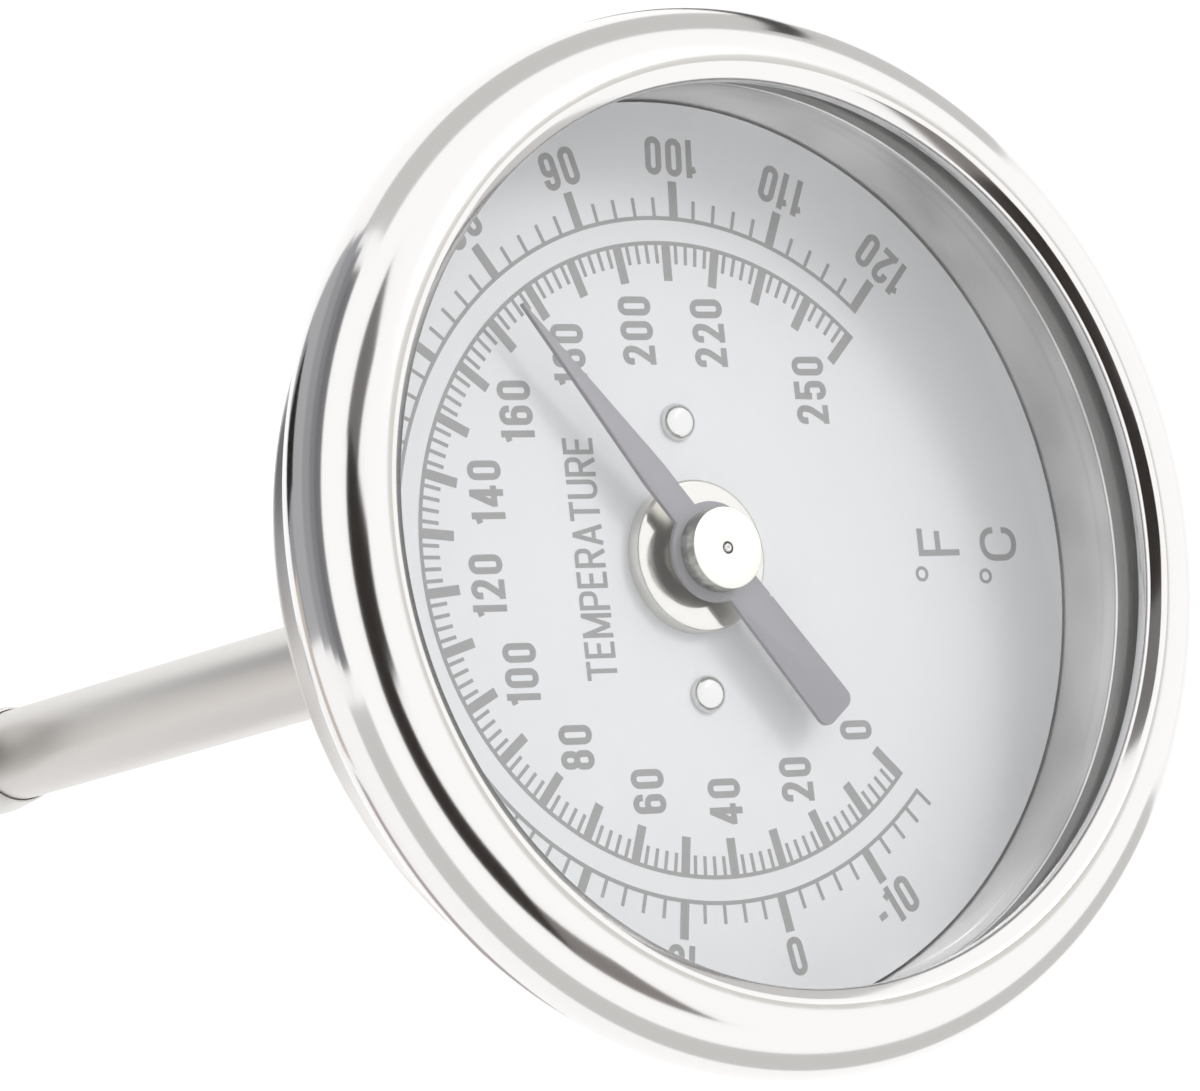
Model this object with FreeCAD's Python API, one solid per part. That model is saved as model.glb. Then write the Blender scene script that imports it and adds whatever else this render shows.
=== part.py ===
"""Bimetal dial thermometer with a plain rear stem and a sliding tank clip.

Units are millimetres. The origin is the middle of the stem's tip. +Z runs up the stem to the dial
and towards the reader, +Y is the dial's 12 o'clock and +X is its 3 o'clock.

Every height below is measured from the flat back of the case, so the stem's heights are negative.
The last step raises the whole model by the stem's length, which puts the tip at the origin.
"""
import FreeCAD
import Part
import math
import os
from FreeCAD import Vector

# ---- case, a drawn cup with an outward flange ----
CASE_OUTER_D = 56.8
CASE_WALL = 0.5
CASE_BACK_FILLET = 1.2
FLANGE_TOP_Z = 8.2

# ---- window ----
GASKET_T = 1.2
GLASS_T = 2.0
GLASS_CLEAR = 0.25
GASKET_LIP = 0.1

# ---- bezel, one rolled sheet ring ----
BEZEL_OVERHANG = 4.1
BEZEL_ROLL_R = 4.05
BEZEL_BEAD_R = 1.15
BEZEL_WALL = 0.6
BEZEL_HOOK_PAST_DEG = 25.237
BEZEL_CLEAR = 0.03

# ---- dial ----
DIAL_CLEAR = 0.15
DIAL_T = 0.5
DIAL_TOP_Z = 2.5
DIAL_SCREW_X = 8.2
SCREW_HEAD_D = 2.3
SCREW_HEAD_H = 0.7
SCREW_SHANK_D = 1.4
SCREW_TIP_CLEAR = 0.3

# ---- bracket under the dial ----
BRACKET_MARGIN = 3.8
BRACKET_W = 10.0

# ---- stem ----
STEM_D = 6.35
STEM_WALL = 0.45
STEM_LENGTH = 150.0
TIP_ROUND_R = 1.6
TIP_PLUG_SPIGOT = 5.0
STEM_FIT = 0.03

# ---- hexagon collar behind the case ----
COLLAR_AF = 11.0
COLLAR_T = 5.5
COLLAR_CHAMFER = 0.7

# ---- polished boss at the centre of the dial, with a long shank down the stem ----
BOSS_D = 9.2
BOSS_H = 1.1
BOSS_EDGE_R = 0.25
BOSS_SHANK_DEPTH = 12.0

# ---- shaft and its bushes ----
SHAFT_D = 1.5
RUNNING_FIT = 0.04
SPIGOT_D = 0.75
GUIDE_BUSH_L = 4.0
GUIDE_BUSH_NAMES = ("guide_bush_upper", "guide_bush_middle", "guide_bush_lower")

# ---- bimetal helix ----
COIL_LENGTH = 42.0
COIL_CLEAR = 0.425
COIL_STRIP_T = 0.3
COIL_STRIP_W = 1.6
COIL_TURNS = 12
ANCHOR_L = 6.0
ANCHOR_TO_TIP = 2.0
COLLET_L = 4.0
COLLET_FLOOR = 1.0

# ---- pointer ----
POINTER_TOP_Z = 4.85
POINTER_T = 0.35
POINTER_REACH = 19.1
POINTER_TAIL = 12.8
POINTER_RING_D = 6.1
NEEDLE_ROOT_W = 1.85
NEEDLE_TIP_W = 0.16
NEEDLE_TAPER_START = 6.0
TAIL_ROOT_W = 2.4
TAIL_END_W = 2.9
TAIL_CORNER_R = 0.7
HUB_D = 5.0
HUB_TOP_H = 1.3
HUB_FOOT_D = 3.6
HUB_FOOT_GAP = 0.5
SHAFT_END_PROUD = 0.03

# ---- scale: the pointer stands at this reading, clockwise from 12 o'clock ----
SCALE_SWEEP_DEG = 270.0
SCALE_FULL_F = 250.0
REST_READING_F = 172.8

# ---- tank clip: a split sleeve that grips the stem and a bent leaf welded to it ----
SLEEVE_TOP_Z = -78.5
SLEEVE_L = 18.0
SLEEVE_WALL = 0.5
SLEEVE_TAPER_L = 3.0
SLEEVE_FIT = 0.05
SLEEVE_SLOT = 1.6
LEAF_T = 0.6
LEAF_W = 8.0
LEAF_BEND_R = 2.0
LEAF_PAD_L = 8.0
LEAF_RISE = 2.0
LEAF_JAW = 5.6
LEAF_LEG_L = 24.0
LEAF_KNEE_L = 7.0
LEAF_KNEE_IN = 2.6
LEAF_FLARE_L = 5.0
LEAF_FLARE_OUT = 2.6
LEAF_CORNER_R = 2.0

# ---- what follows from them ----
CASE_OUTER_R = CASE_OUTER_D / 2
CASE_INNER_R = CASE_OUTER_R - CASE_WALL
FLANGE_BOTTOM_Z = FLANGE_TOP_Z - CASE_WALL
GLASS_BOTTOM_Z = FLANGE_TOP_Z + GASKET_T
GLASS_TOP_Z = GLASS_BOTTOM_Z + GLASS_T
BEAD_CENTRE_Z = GLASS_TOP_Z + BEZEL_BEAD_R
BEZEL_TOP_Z = BEAD_CENTRE_Z + BEZEL_BEAD_R
ROLL_CENTRE_R = CASE_OUTER_R + BEZEL_OVERHANG - BEZEL_ROLL_R
ROLL_CENTRE_Z = BEZEL_TOP_Z - BEZEL_ROLL_R
ROLL_INNER_R = BEZEL_ROLL_R - BEZEL_WALL
STEM_R = STEM_D / 2
STEM_BORE_R = STEM_R - STEM_WALL
SHAFT_R = SHAFT_D / 2
DIAL_BOTTOM_Z = DIAL_TOP_Z - DIAL_T
BOSS_TOP_Z = DIAL_TOP_Z + BOSS_H
BOSS_SHANK_R = STEM_BORE_R - STEM_FIT
BRACKET_L = 2 * (DIAL_SCREW_X + BRACKET_MARGIN)
COIL_R = STEM_BORE_R - COIL_CLEAR
POINTER_BOTTOM_Z = POINTER_TOP_Z - POINTER_T
HUB_TOP_Z = POINTER_TOP_Z + HUB_TOP_H
HUB_FOOT_Z = BOSS_TOP_Z + HUB_FOOT_GAP
ANCHOR_BOTTOM_Z = -STEM_LENGTH + TIP_PLUG_SPIGOT + ANCHOR_TO_TIP
COIL_BOTTOM_Z = ANCHOR_BOTTOM_Z + ANCHOR_L
COIL_TOP_Z = COIL_BOTTOM_Z + COIL_LENGTH
COLLET_TOP_Z = COIL_TOP_Z + COLLET_L
SHAFT_BOTTOM_Z = COIL_TOP_Z + COLLET_FLOOR
REST_CLOCKWISE_DEG = (REST_READING_F / SCALE_FULL_F - 0.5) * SCALE_SWEEP_DEG

AXIS = Vector(0, 0, 1)
ORIGIN = Vector(0, 0, 0)


# The flange's lower edge sits in the bezel's roll at this angle below the roll's widest point.
ROLL_GRIP_R = ROLL_INNER_R - BEZEL_CLEAR
FLANGE_EDGE_ANGLE = math.asin((ROLL_CENTRE_Z - FLANGE_BOTTOM_Z) / ROLL_GRIP_R)
FLANGE_R = ROLL_CENTRE_R + ROLL_GRIP_R * math.cos(FLANGE_EDGE_ANGLE)
BEZEL_HOOK_DEG = math.degrees(FLANGE_EDGE_ANGLE) + BEZEL_HOOK_PAST_DEG
GLASS_R = FLANGE_R - GLASS_CLEAR


def disc(radius, bottom, top):
    """Solid cylinder on the stem's axis, between two heights."""
    return Part.makeCylinder(radius, top - bottom, Vector(0, 0, bottom), AXIS)


def ring(outer, inner, bottom, top):
    """Plain ring on the stem's axis."""
    return disc(outer, bottom, top).cut(disc(inner, bottom - 1, top + 1))


def point(radius, height):
    """A point of a turned section: radius along X, height along Z."""
    return Vector(radius, 0, height)


def line(start, end):
    return Part.LineSegment(start, end).toShape()


def arc(start, middle, end):
    return Part.Arc(start, middle, end).toShape()


def on_circle(centre, radius, degrees):
    """A point of a circle in the XZ plane; 0 degrees is outward, 90 is up."""
    angle = math.radians(degrees)
    return centre + Vector(radius * math.cos(angle), 0, radius * math.sin(angle))


def turned(edges):
    """Full turn of a closed section about the stem's axis."""
    face = Part.Face(Part.Wire(Part.__sortEdges__(edges)))
    return face.revolve(ORIGIN, AXIS, 360)


def horizontal_edges_at(shape, height, radius):
    """Circular edges of a given height and radius, for a fillet or a chamfer."""
    found = []
    for edge in shape.Edges:
        box = edge.BoundBox
        flat = box.ZLength < 1e-6 and abs(box.ZMin - height) < 1e-4
        if flat and abs(box.XMax - radius) < 1e-3:
            found.append(edge)
    return found


def case_cup():
    """Cup with a rounded back corner, an out-turned flange and a hole for the stem."""
    outer = disc(CASE_OUTER_R, 0, FLANGE_TOP_Z)
    outer = outer.makeFillet(CASE_BACK_FILLET, horizontal_edges_at(outer, 0, CASE_OUTER_R))
    cavity = disc(CASE_INNER_R, CASE_WALL, FLANGE_TOP_Z + 1)
    inner_fillet = CASE_BACK_FILLET - CASE_WALL
    cavity = cavity.makeFillet(inner_fillet, horizontal_edges_at(cavity, CASE_WALL, CASE_INNER_R))
    flange = disc(FLANGE_R, FLANGE_BOTTOM_Z, FLANGE_TOP_Z)
    cup = outer.fuse(flange).removeSplitter().cut(cavity)
    return cup.cut(disc(STEM_R + STEM_FIT, -1, CASE_WALL + 1))


def bezel_ring():
    """Rolled ring: a small bead presses on the glass and the big roll hooks under the flange."""
    bead = point(ROLL_CENTRE_R, BEAD_CENTRE_Z)
    roll = point(ROLL_CENTRE_R, ROLL_CENTRE_Z)
    bead_inner = BEZEL_BEAD_R - BEZEL_WALL
    hook = -BEZEL_HOOK_DEG
    middle = (90 + hook) / 2
    edges = [
        arc(on_circle(bead, BEZEL_BEAD_R, 270), on_circle(bead, BEZEL_BEAD_R, 180),
            on_circle(bead, BEZEL_BEAD_R, 90)),
        arc(on_circle(roll, BEZEL_ROLL_R, 90), on_circle(roll, BEZEL_ROLL_R, middle),
            on_circle(roll, BEZEL_ROLL_R, hook)),
        line(on_circle(roll, BEZEL_ROLL_R, hook), on_circle(roll, ROLL_INNER_R, hook)),
        arc(on_circle(roll, ROLL_INNER_R, hook), on_circle(roll, ROLL_INNER_R, middle),
            on_circle(roll, ROLL_INNER_R, 90)),
        arc(on_circle(bead, bead_inner, 90), on_circle(bead, bead_inner, 180),
            on_circle(bead, bead_inner, 270)),
        line(on_circle(bead, bead_inner, 270), on_circle(bead, BEZEL_BEAD_R, 270)),
    ]
    return turned(edges)


def lens_gasket():
    return ring(GLASS_R, CASE_INNER_R + GASKET_LIP, FLANGE_TOP_Z, GLASS_BOTTOM_Z)


def lens_glass():
    return disc(GLASS_R, GLASS_BOTTOM_Z, GLASS_TOP_Z)


def at_screws(shape):
    """Copies of a shape at both dial screws."""
    copies = []
    for side in (-1, 1):
        copy = shape.copy()
        copy.translate(Vector(side * DIAL_SCREW_X, 0, 0))
        copies.append(copy)
    return copies


def screw_hole():
    return disc(SCREW_SHANK_D / 2 + STEM_FIT, 0, DIAL_TOP_Z + 1)


def dial_plate():
    plate = disc(CASE_INNER_R - DIAL_CLEAR, DIAL_BOTTOM_Z, DIAL_TOP_Z)
    plate = plate.cut(disc(BOSS_SHANK_R + STEM_FIT, 0, DIAL_TOP_Z + 1))
    for hole in at_screws(screw_hole()):
        plate = plate.cut(hole)
    return plate


def dial_bracket():
    """Flat bar spot-welded to the floor of the cup; the dial is screwed down on it."""
    corner = Vector(-BRACKET_L / 2, -BRACKET_W / 2, CASE_WALL)
    bar = Part.makeBox(BRACKET_L, BRACKET_W, DIAL_BOTTOM_Z - CASE_WALL, corner)
    upright = [edge for edge in bar.Edges if edge.BoundBox.ZLength > 0.5]
    bar = bar.makeFillet(BRACKET_W / 4, upright)
    bar = bar.cut(disc(STEM_R + STEM_FIT, 0, DIAL_TOP_Z))
    for hole in at_screws(screw_hole()):
        bar = bar.cut(hole)
    return bar


def dial_screws():
    """Two domed heads, each a slice of a sphere, on plain shanks."""
    head_r = SCREW_HEAD_D / 2
    sphere_r = (head_r ** 2 + SCREW_HEAD_H ** 2) / (2 * SCREW_HEAD_H)
    ball = Part.makeSphere(sphere_r, Vector(0, 0, DIAL_TOP_Z + SCREW_HEAD_H - sphere_r))
    head = ball.common(disc(head_r + 1, DIAL_TOP_Z, DIAL_TOP_Z + SCREW_HEAD_H + 1))
    shank = disc(SCREW_SHANK_D / 2, CASE_WALL + SCREW_TIP_CLEAR, DIAL_TOP_Z)
    screw = head.fuse(shank).removeSplitter()
    return Part.makeCompound(at_screws(screw))


def boss_bush():
    """Polished flange on the dial, with a shank that centres in the stem and guides the shaft."""
    flange = disc(BOSS_D / 2, DIAL_TOP_Z, BOSS_TOP_Z)
    flange = flange.makeFillet(BOSS_EDGE_R, horizontal_edges_at(flange, BOSS_TOP_Z, BOSS_D / 2))
    shank = disc(BOSS_SHANK_R, -BOSS_SHANK_DEPTH, DIAL_TOP_Z)
    bush = flange.fuse(shank).removeSplitter()
    return bush.cut(disc(SHAFT_R + RUNNING_FIT, -BOSS_SHANK_DEPTH - 1, BOSS_TOP_Z + 1))


def stem_tube():
    return ring(STEM_R, STEM_BORE_R, -STEM_LENGTH + TIP_ROUND_R, DIAL_BOTTOM_Z)


def tip_plug():
    """Rounded end cap with a spigot in the tube."""
    cap = disc(STEM_R, -STEM_LENGTH, -STEM_LENGTH + TIP_ROUND_R)
    cap = cap.makeFillet(TIP_ROUND_R * 0.9, horizontal_edges_at(cap, -STEM_LENGTH, STEM_R))
    spigot_r = STEM_BORE_R - STEM_FIT
    spigot = disc(spigot_r, -STEM_LENGTH + TIP_ROUND_R, -STEM_LENGTH + TIP_PLUG_SPIGOT)
    return cap.fuse(spigot).removeSplitter()


def hex_collar():
    """Hexagon collar brazed to the back of the case and round the stem."""
    corner_r = COLLAR_AF / math.sqrt(3)
    corners = []
    for step in range(7):
        angle = math.radians(60 * step)
        corners.append(Vector(corner_r * math.cos(angle), corner_r * math.sin(angle), -COLLAR_T))
    hexagon = Part.Face(Part.makePolygon(corners)).extrude(Vector(0, 0, COLLAR_T))
    top_r = corner_r - COLLAR_CHAMFER
    slope = COLLAR_CHAMFER * math.tan(math.radians(30))
    cone = Part.makeCone(top_r, top_r + COLLAR_T / math.tan(math.radians(30)), COLLAR_T,
                         Vector(0, 0, -COLLAR_T), AXIS)
    cone_lift = cone.copy()
    cone_lift.translate(Vector(0, 0, -slope))
    shaped = hexagon.common(cone_lift.fuse(disc(corner_r + 1, -COLLAR_T + slope * 2, 0)))
    return shaped.cut(disc(STEM_R + STEM_FIT, -COLLAR_T - 1, 1))


def guide_bush(centre_z):
    half = GUIDE_BUSH_L / 2
    return ring(STEM_BORE_R - STEM_FIT, SHAFT_R + RUNNING_FIT, centre_z - half, centre_z + half)


def guide_bush_heights():
    """Evenly spaced between the end of the boss shank and the top of the helix."""
    top = -BOSS_SHANK_DEPTH
    count = len(GUIDE_BUSH_NAMES)
    step = (top - COLLET_TOP_Z) / (count + 0.5)
    return [top - step * (index + 1) for index in range(count)]


def bimetal_coil():
    """Helix of flat bimetal strip, wound on edge."""
    mean_r = COIL_R - COIL_STRIP_T / 2
    climb = COIL_LENGTH - COIL_STRIP_W
    helix = Part.makeHelix(climb / COIL_TURNS, climb, mean_r)
    helix.translate(Vector(0, 0, COIL_BOTTOM_Z + COIL_STRIP_W / 2))
    low = COIL_BOTTOM_Z
    section = Part.makePolygon([
        point(mean_r - COIL_STRIP_T / 2, low),
        point(mean_r + COIL_STRIP_T / 2, low),
        point(mean_r + COIL_STRIP_T / 2, low + COIL_STRIP_W),
        point(mean_r - COIL_STRIP_T / 2, low + COIL_STRIP_W),
        point(mean_r - COIL_STRIP_T / 2, low),
    ])
    return Part.Wire(helix).makePipeShell([section], True, True)


def coil_anchor():
    """Plug fixed in the tube that holds the helix's lower end."""
    return disc(STEM_BORE_R - STEM_FIT, ANCHOR_BOTTOM_Z, ANCHOR_BOTTOM_Z + ANCHOR_L)


def coil_collet():
    """Collet on the shaft's lower end that takes the helix's upper end."""
    body = disc(COIL_R, COIL_TOP_Z, COLLET_TOP_Z)
    return body.cut(disc(SHAFT_R, SHAFT_BOTTOM_Z, COLLET_TOP_Z + 1))


def pointer_shaft():
    """Long spindle with a thin spigot that is staked in the hub."""
    rod = disc(SHAFT_R, SHAFT_BOTTOM_Z, POINTER_TOP_Z)
    spigot = disc(SPIGOT_D / 2, POINTER_TOP_Z, HUB_TOP_Z + SHAFT_END_PROUD)
    return rod.fuse(spigot).removeSplitter()


def at_rest_reading(shape):
    """Turn a shape drawn with the pointer at 12 o'clock to the rest reading."""
    shape.rotate(ORIGIN, AXIS, -REST_CLOCKWISE_DEG)
    return shape


def pointer_needle():
    """Flat stamped needle: ring, tapered point and wider tail."""
    needle = Part.makePolygon([
        Vector(-NEEDLE_ROOT_W / 2, 0, POINTER_BOTTOM_Z),
        Vector(-NEEDLE_ROOT_W / 2, NEEDLE_TAPER_START, POINTER_BOTTOM_Z),
        Vector(-NEEDLE_TIP_W / 2, POINTER_REACH, POINTER_BOTTOM_Z),
        Vector(NEEDLE_TIP_W / 2, POINTER_REACH, POINTER_BOTTOM_Z),
        Vector(NEEDLE_ROOT_W / 2, NEEDLE_TAPER_START, POINTER_BOTTOM_Z),
        Vector(NEEDLE_ROOT_W / 2, 0, POINTER_BOTTOM_Z),
        Vector(-NEEDLE_ROOT_W / 2, 0, POINTER_BOTTOM_Z),
    ])
    tail = Part.makePolygon([
        Vector(-TAIL_ROOT_W / 2, 0, POINTER_BOTTOM_Z),
        Vector(TAIL_ROOT_W / 2, 0, POINTER_BOTTOM_Z),
        Vector(TAIL_END_W / 2, -POINTER_TAIL, POINTER_BOTTOM_Z),
        Vector(-TAIL_END_W / 2, -POINTER_TAIL, POINTER_BOTTOM_Z),
        Vector(-TAIL_ROOT_W / 2, 0, POINTER_BOTTOM_Z),
    ])
    thick = Vector(0, 0, POINTER_T)
    tail_solid = Part.Face(tail).extrude(thick)
    corners = []
    for edge in tail_solid.Edges:
        box = edge.BoundBox
        if box.ZLength > POINTER_T / 2 and box.YMax < -POINTER_TAIL + 0.1:
            corners.append(edge)
    tail_solid = tail_solid.makeFillet(TAIL_CORNER_R, corners)
    plate = Part.Face(needle).extrude(thick).fuse(tail_solid)
    plate = plate.fuse(disc(POINTER_RING_D / 2, POINTER_BOTTOM_Z, POINTER_TOP_Z))
    plate = plate.removeSplitter().cut(disc(HUB_FOOT_D / 2, POINTER_BOTTOM_Z - 1, POINTER_TOP_Z + 1))
    return at_rest_reading(plate)


def pointer_hub():
    """Turned hub: a head over the needle and a foot through its ring, on the shaft."""
    head = disc(HUB_D / 2, POINTER_TOP_Z, HUB_TOP_Z)
    foot = disc(HUB_FOOT_D / 2, HUB_FOOT_Z, POINTER_TOP_Z)
    hub = head.fuse(foot).removeSplitter()
    hub = hub.cut(disc(SHAFT_R, HUB_FOOT_Z - 1, POINTER_TOP_Z))
    return hub.cut(disc(SPIGOT_D / 2, POINTER_TOP_Z - 1, HUB_TOP_Z + 1))


def clip_sleeve():
    """Split tube that slides on the stem, thinned at both ends."""
    top = SLEEVE_TOP_Z
    bottom = top - SLEEVE_L
    inner_r = STEM_R + SLEEVE_FIT
    outer_r = inner_r + SLEEVE_WALL
    thin_r = inner_r + SLEEVE_WALL / 3
    body = disc(outer_r, bottom + SLEEVE_TAPER_L, top - SLEEVE_TAPER_L)
    upper = Part.makeCone(outer_r, thin_r, SLEEVE_TAPER_L, Vector(0, 0, top - SLEEVE_TAPER_L), AXIS)
    lower = Part.makeCone(thin_r, outer_r, SLEEVE_TAPER_L, Vector(0, 0, bottom), AXIS)
    body = body.fuse(upper).fuse(lower).cut(disc(inner_r, bottom - 1, top + 1))
    corner = Vector(-SLEEVE_SLOT / 2, -outer_r - 1, bottom - 1)
    return body.cut(Part.makeBox(SLEEVE_SLOT, outer_r, SLEEVE_L + 2, corner))


def bent_strip(corners, bend_r, thickness):
    """Flat band in the YZ plane whose centre line turns at each corner with one bend radius."""
    sides = []
    for side in (0.5, -0.5):
        edges = []
        offset = side * thickness
        here = None
        for index in range(1, len(corners) - 1):
            before = (corners[index] - corners[index - 1]).normalize()
            after = (corners[index + 1] - corners[index]).normalize()
            turn = before.cross(after).x
            half = before.getAngle(after) / 2
            setback = bend_r * math.tan(half)
            sign = 1 if turn > 0 else -1
            normal_in = Vector(0, -before.z, before.y)
            normal_out = Vector(0, -after.z, after.y)
            centre = corners[index] - before * setback + normal_in * (sign * bend_r)
            arc_start = corners[index] - before * setback + normal_in * offset
            arc_end = corners[index] + after * setback + normal_out * offset
            outward = (corners[index] - centre).normalize()
            arc_middle = centre + outward * (bend_r - sign * offset)
            if here is None:
                here = corners[0] + normal_in * offset
            edges.append(line(here, arc_start))
            edges.append(arc(arc_start, arc_middle, arc_end))
            here = arc_end
            last_normal = normal_out
        edges.append(line(here, corners[-1] + last_normal * offset))
        sides.append(edges)
    first = [edges[0].firstVertex().Point for edges in sides]
    last = [edges[-1].lastVertex().Point for edges in sides]
    loop = sides[0] + sides[1] + [line(first[0], first[1]), line(last[0], last[1])]
    return Part.Face(Part.Wire(Part.__sortEdges__(loop)))


def clip_leaf():
    """Sprung leaf: pad on the sleeve, a hairpin at the top, a leg, a knee and a flared end."""
    pad_y = STEM_R + SLEEVE_FIT + SLEEVE_WALL + LEAF_T / 2
    leg_y = pad_y + LEAF_JAW
    pad_bottom = SLEEVE_TOP_Z - SLEEVE_TAPER_L - LEAF_PAD_L
    top = SLEEVE_TOP_Z + LEAF_RISE
    leg_bottom = top - LEAF_LEG_L
    knee_bottom = leg_bottom - LEAF_KNEE_L
    corners = [
        Vector(0, pad_y, pad_bottom),
        Vector(0, pad_y, top),
        Vector(0, leg_y, top),
        Vector(0, leg_y, leg_bottom),
        Vector(0, leg_y - LEAF_KNEE_IN, knee_bottom),
        Vector(0, leg_y - LEAF_KNEE_IN + LEAF_FLARE_OUT, knee_bottom - LEAF_FLARE_L),
    ]
    leaf = bent_strip(corners, LEAF_BEND_R, LEAF_T).extrude(Vector(LEAF_W, 0, 0))
    leaf.translate(Vector(-LEAF_W / 2, 0, 0))
    ends = []
    for edge in leaf.Edges:
        box = edge.BoundBox
        across = box.XLength < 1e-6 and abs(edge.Length - LEAF_T) < 1e-4
        if across and box.ZMax < leg_bottom:
            ends.append(edge)
    return leaf.makeFillet(LEAF_CORNER_R, ends)


def main():
    parts = {
        "case_cup": case_cup(),
        "bezel_ring": bezel_ring(),
        "lens_gasket": lens_gasket(),
        "lens_glass": lens_glass(),
        "dial_plate": dial_plate(),
        "dial_bracket": dial_bracket(),
        "dial_screws": dial_screws(),
        "boss_bush": boss_bush(),
        "hex_collar": hex_collar(),
        "stem_tube": stem_tube(),
        "tip_plug": tip_plug(),
        "coil_anchor": coil_anchor(),
        "bimetal_coil": bimetal_coil(),
        "coil_collet": coil_collet(),
        "pointer_shaft": pointer_shaft(),
        "pointer_needle": pointer_needle(),
        "pointer_hub": pointer_hub(),
        "clip_sleeve": clip_sleeve(),
        "clip_leaf": clip_leaf(),
    }
    for name, height in zip(GUIDE_BUSH_NAMES, guide_bush_heights()):
        parts[name] = guide_bush(height)
    os.makedirs("parts", exist_ok=True)
    for name, shape in parts.items():
        shape.translate(Vector(0, 0, STEM_LENGTH))
        shape.exportStep(f"parts/{name}.step")
        print(f"{name:20s} valid={shape.isValid()} solids={len(shape.Solids)} volume={shape.Volume:.2f}")


main()
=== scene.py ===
"""Looks of a bimetal dial thermometer with a rolled bezel, a plain rear stem and a sliding clip.

Every piece is made in the CAD frame, in metres. The origin is the stem's tip, +Z runs up the stem
to the dial, +Y is the dial's 12 o'clock and +X is its 3 o'clock. Angles on the dial are clockwise
from 12 o'clock. Sizes that the frame holds are read from it; the rest are the panel's settings.
"""
import math

import bmesh
import bpy
from bpy.props import FloatProperty, FloatVectorProperty, IntProperty, PointerProperty
from bpy.types import Operator, Panel, PropertyGroup
from mathutils import Matrix, Vector


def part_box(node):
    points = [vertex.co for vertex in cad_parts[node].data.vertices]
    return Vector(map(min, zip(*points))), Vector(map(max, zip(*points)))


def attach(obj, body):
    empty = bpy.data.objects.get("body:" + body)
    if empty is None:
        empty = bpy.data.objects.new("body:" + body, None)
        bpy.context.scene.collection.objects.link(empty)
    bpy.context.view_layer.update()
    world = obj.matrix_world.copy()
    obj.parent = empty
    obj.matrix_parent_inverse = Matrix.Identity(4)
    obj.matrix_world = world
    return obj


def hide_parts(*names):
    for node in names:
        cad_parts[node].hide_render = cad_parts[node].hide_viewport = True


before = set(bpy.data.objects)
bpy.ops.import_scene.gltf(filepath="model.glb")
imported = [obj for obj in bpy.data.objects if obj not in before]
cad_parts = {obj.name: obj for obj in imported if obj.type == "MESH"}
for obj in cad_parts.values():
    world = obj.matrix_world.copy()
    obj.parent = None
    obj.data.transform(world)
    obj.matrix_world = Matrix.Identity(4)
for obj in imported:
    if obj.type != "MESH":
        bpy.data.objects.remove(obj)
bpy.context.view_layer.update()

bl_info = {
    "name": "Dial thermometer",
    "version": (1, 0, 0),
    "blender": (4, 5, 0),
    "location": "3D View > Sidebar > Thermometer",
    "description": "Builds the pieces, finishes and stage of a bimetal dial thermometer",
    "category": "Add Mesh",
}

MM = 0.001
MERGE_DISTANCE = 1e-7
FINE_TURN = 360
SMALL_TURN = 128
SHARP_ANGLE = math.radians(32)
EASE_SEGMENTS = 3
GASKET_GAP = 0.02 * MM
PRESS_FIT = 0.03 * MM
RUNNING_FIT = 0.04 * MM
BOSS_STEPS = 192
SCREW_STEPS = 64
ROLL_STEPS = 48


def angle_setting(name, description, degrees):
    return FloatProperty(name=name, description=description, default=math.radians(degrees),
                         subtype="ANGLE", unit="ROTATION")


def length_setting(name, description, millimetres):
    return FloatProperty(name=name, description=description, default=millimetres * MM,
                         precision=5, unit="LENGTH")


def colour_setting(name, description, colour):
    return FloatVectorProperty(name=name, description=description, default=colour, size=3,
                               min=0.0, max=1.0, subtype="COLOR")


# ---------------------------------------------------------------- settings

class BezelSettings(PropertyGroup):
    wall: length_setting("Sheet", "Thickness of the rolled sheet", 0.6)
    roll_radius: length_setting("Roll radius", "Outside radius of the big roll", 4.05)
    bead_radius: length_setting("Bead radius", "Outside radius of the bead on the glass", 1.15)
    slope: angle_setting("Lip slope", "Slope of the flat between the crest and the lip", 36)
    crest_radius: length_setting("Crest radius", "Radius between the top and the lip's slope", 0.8)
    lip_radius: length_setting("Lip radius", "Radius between the slope and the lip", 0.43)
    hook: angle_setting("Hook", "How far the roll runs on below its widest point", 60)


class CaseSettings(PropertyGroup):
    wall: length_setting("Sheet", "Thickness of the drawn cup", 0.5)
    back_round: length_setting("Back corner", "Outside radius of the back corner", 1.2)
    dial_clear: length_setting("Dial clearance", "Gap between the dial and the cup", 0.15)
    colour: colour_setting("Metal", "Colour of the drawn cup", (0.93, 0.92, 0.905))


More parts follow.
